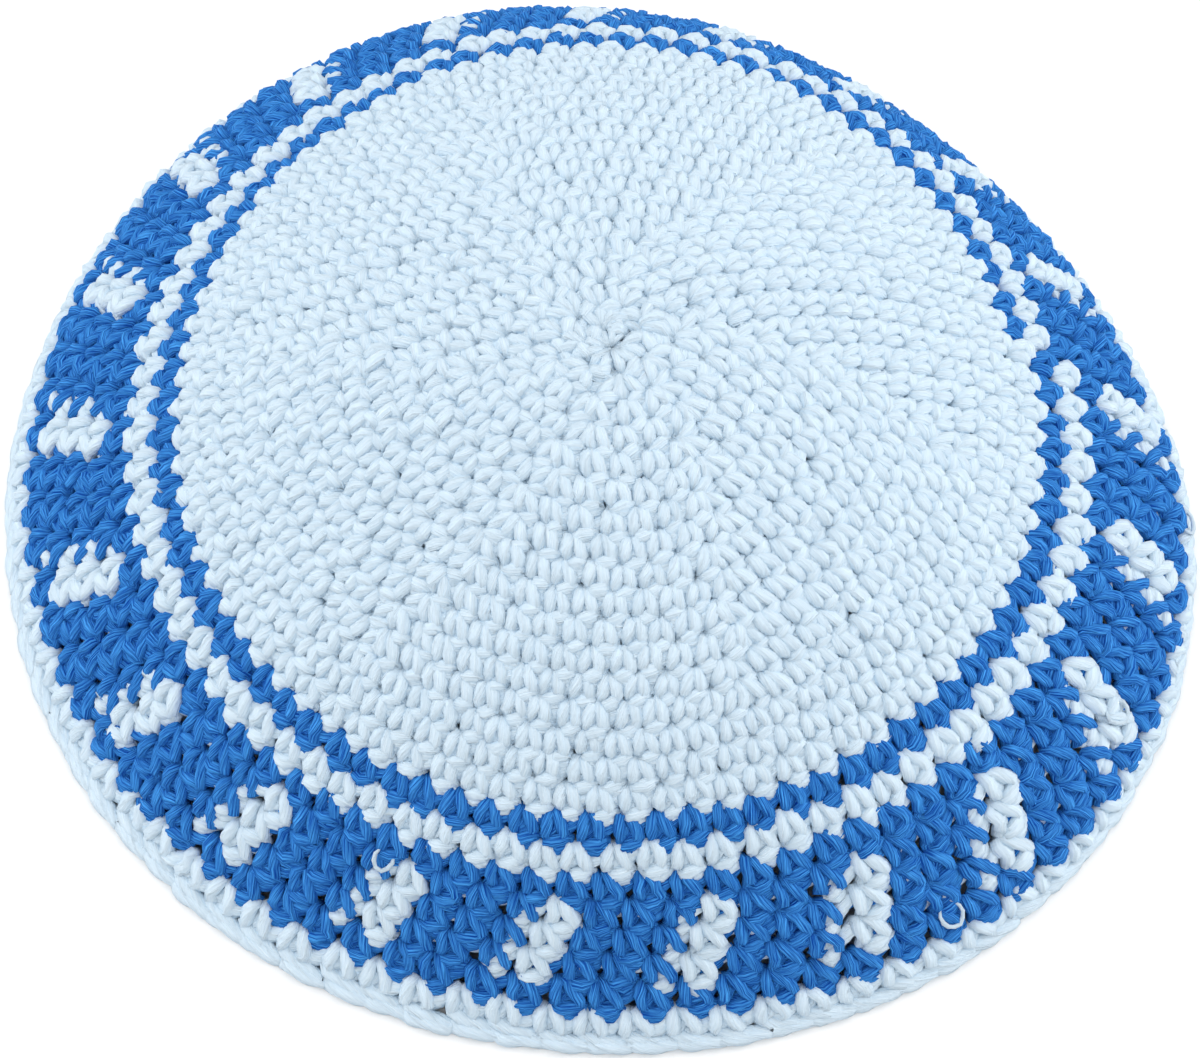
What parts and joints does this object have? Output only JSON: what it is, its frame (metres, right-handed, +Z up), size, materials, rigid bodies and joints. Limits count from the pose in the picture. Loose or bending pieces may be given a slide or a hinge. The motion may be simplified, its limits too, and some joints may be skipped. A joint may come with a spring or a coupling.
{
  "type": "kippah",
  "caption": "Shallow domed skullcap of crocheted cotton with a white crown, a blue band of white bars and a white edge, open underneath for the head.",
  "frame": {"origin": "on the surface that the rim rests on, under the middle of the cap's box", "axes": "+Z up through the crown, -Y towards the side that the picture shows nearest, +X to its right"},
  "size_m": [0.1556, 0.1472, 0.0428],
  "materials": {
    "white_cotton": "matte",
    "blue_cotton": "matte"
  },
  "bodies": {
    "root": {"crown": "white_cotton", "blue_stripe": "blue_cotton", "white_stripe": "white_cotton", "patterned_band": "blue_cotton", "edging": "white_cotton"}
  },
  "joints": []
}
